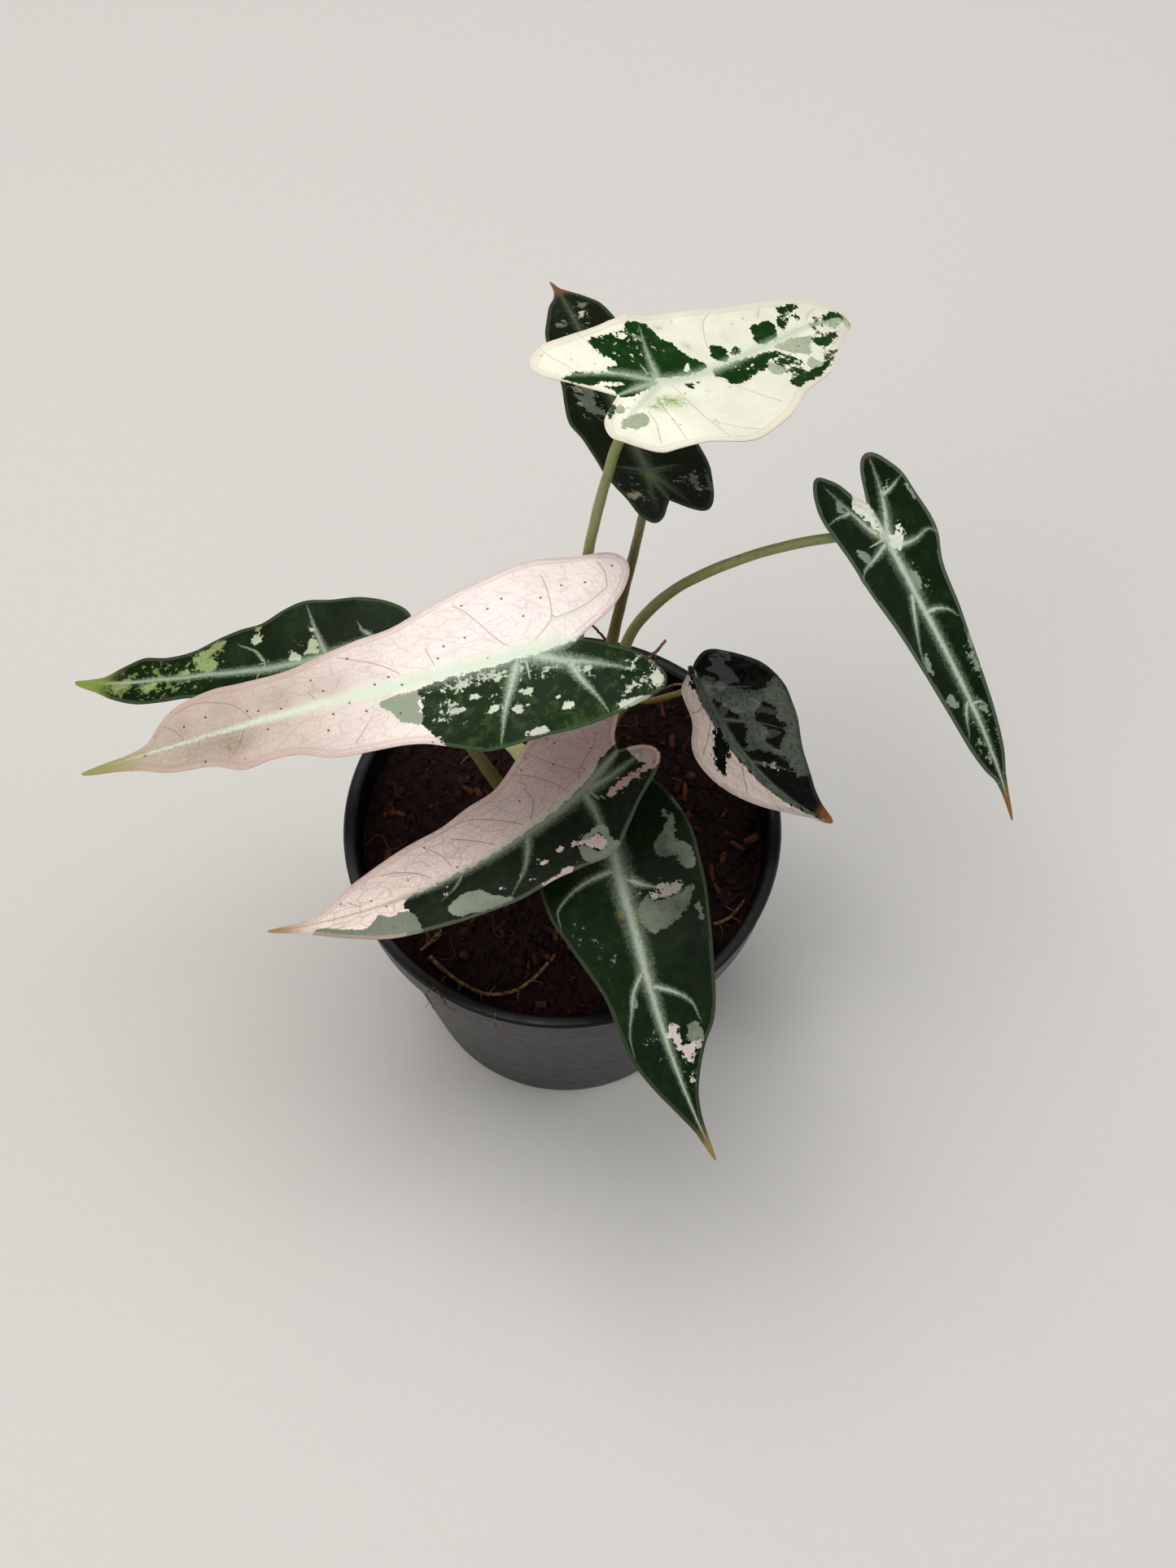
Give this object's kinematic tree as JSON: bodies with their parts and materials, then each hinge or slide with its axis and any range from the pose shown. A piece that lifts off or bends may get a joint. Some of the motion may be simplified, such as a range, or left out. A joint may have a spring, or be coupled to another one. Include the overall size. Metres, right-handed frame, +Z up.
{
  "type": "potted plant",
  "caption": "Potted aroid houseplant with arrow-shaped dark, cream and pink variegated leaves on slender arching stalks, in a round black nursery pot.",
  "frame": {"origin": "middle of the pot's underside, on the surface it stands on", "axes": "+Z up the pot's axis; -Y towards the viewer of the picture, the big pink leaf points to -X"},
  "size_m": [0.2422, 0.2115, 0.2709],
  "materials": {
    "pot_plastic": "moulded black plastic with a dull sheen",
    "potting_mix": "loose dark coir with tan chips",
    "stalk_tissue": "smooth pale olive plant tissue",
    "cream_blade": "satin leaf skin",
    "dark_blade": "satin to glossy leaf skin",
    "pink_blade": "satin leaf skin",
    "young_shoot": "smooth pale plant tissue",
    "root_fibre": "dry tan fibre"
  },
  "bodies": {
    "root": {"pot": "pot_plastic", "soil": "potting_mix", "crown": "stalk_tissue", "stalk_cream": "stalk_tissue", "stalk_rear": "stalk_tissue", "stalk_hanging": "stalk_tissue", "stalk_pink": "stalk_tissue", "stalk_low_back": "stalk_tissue", "stalk_low_pink": "stalk_tissue", "stalk_front": "stalk_tissue", "stalk_folded": "stalk_tissue", "blade_cream": "cream_blade", "blade_rear": "dark_blade", "blade_hanging": "dark_blade", "blade_pink": "pink_blade", "blade_low_back": "dark_blade", "blade_low_pink": "pink_blade", "blade_front": "dark_blade", "blade_folded": "dark_blade", "young_shoot": "young_shoot", "root_front": "root_fibre", "root_front_branch": "root_fibre", "root_right": "root_fibre", "root_back_rim": "root_fibre"}
  },
  "joints": []
}
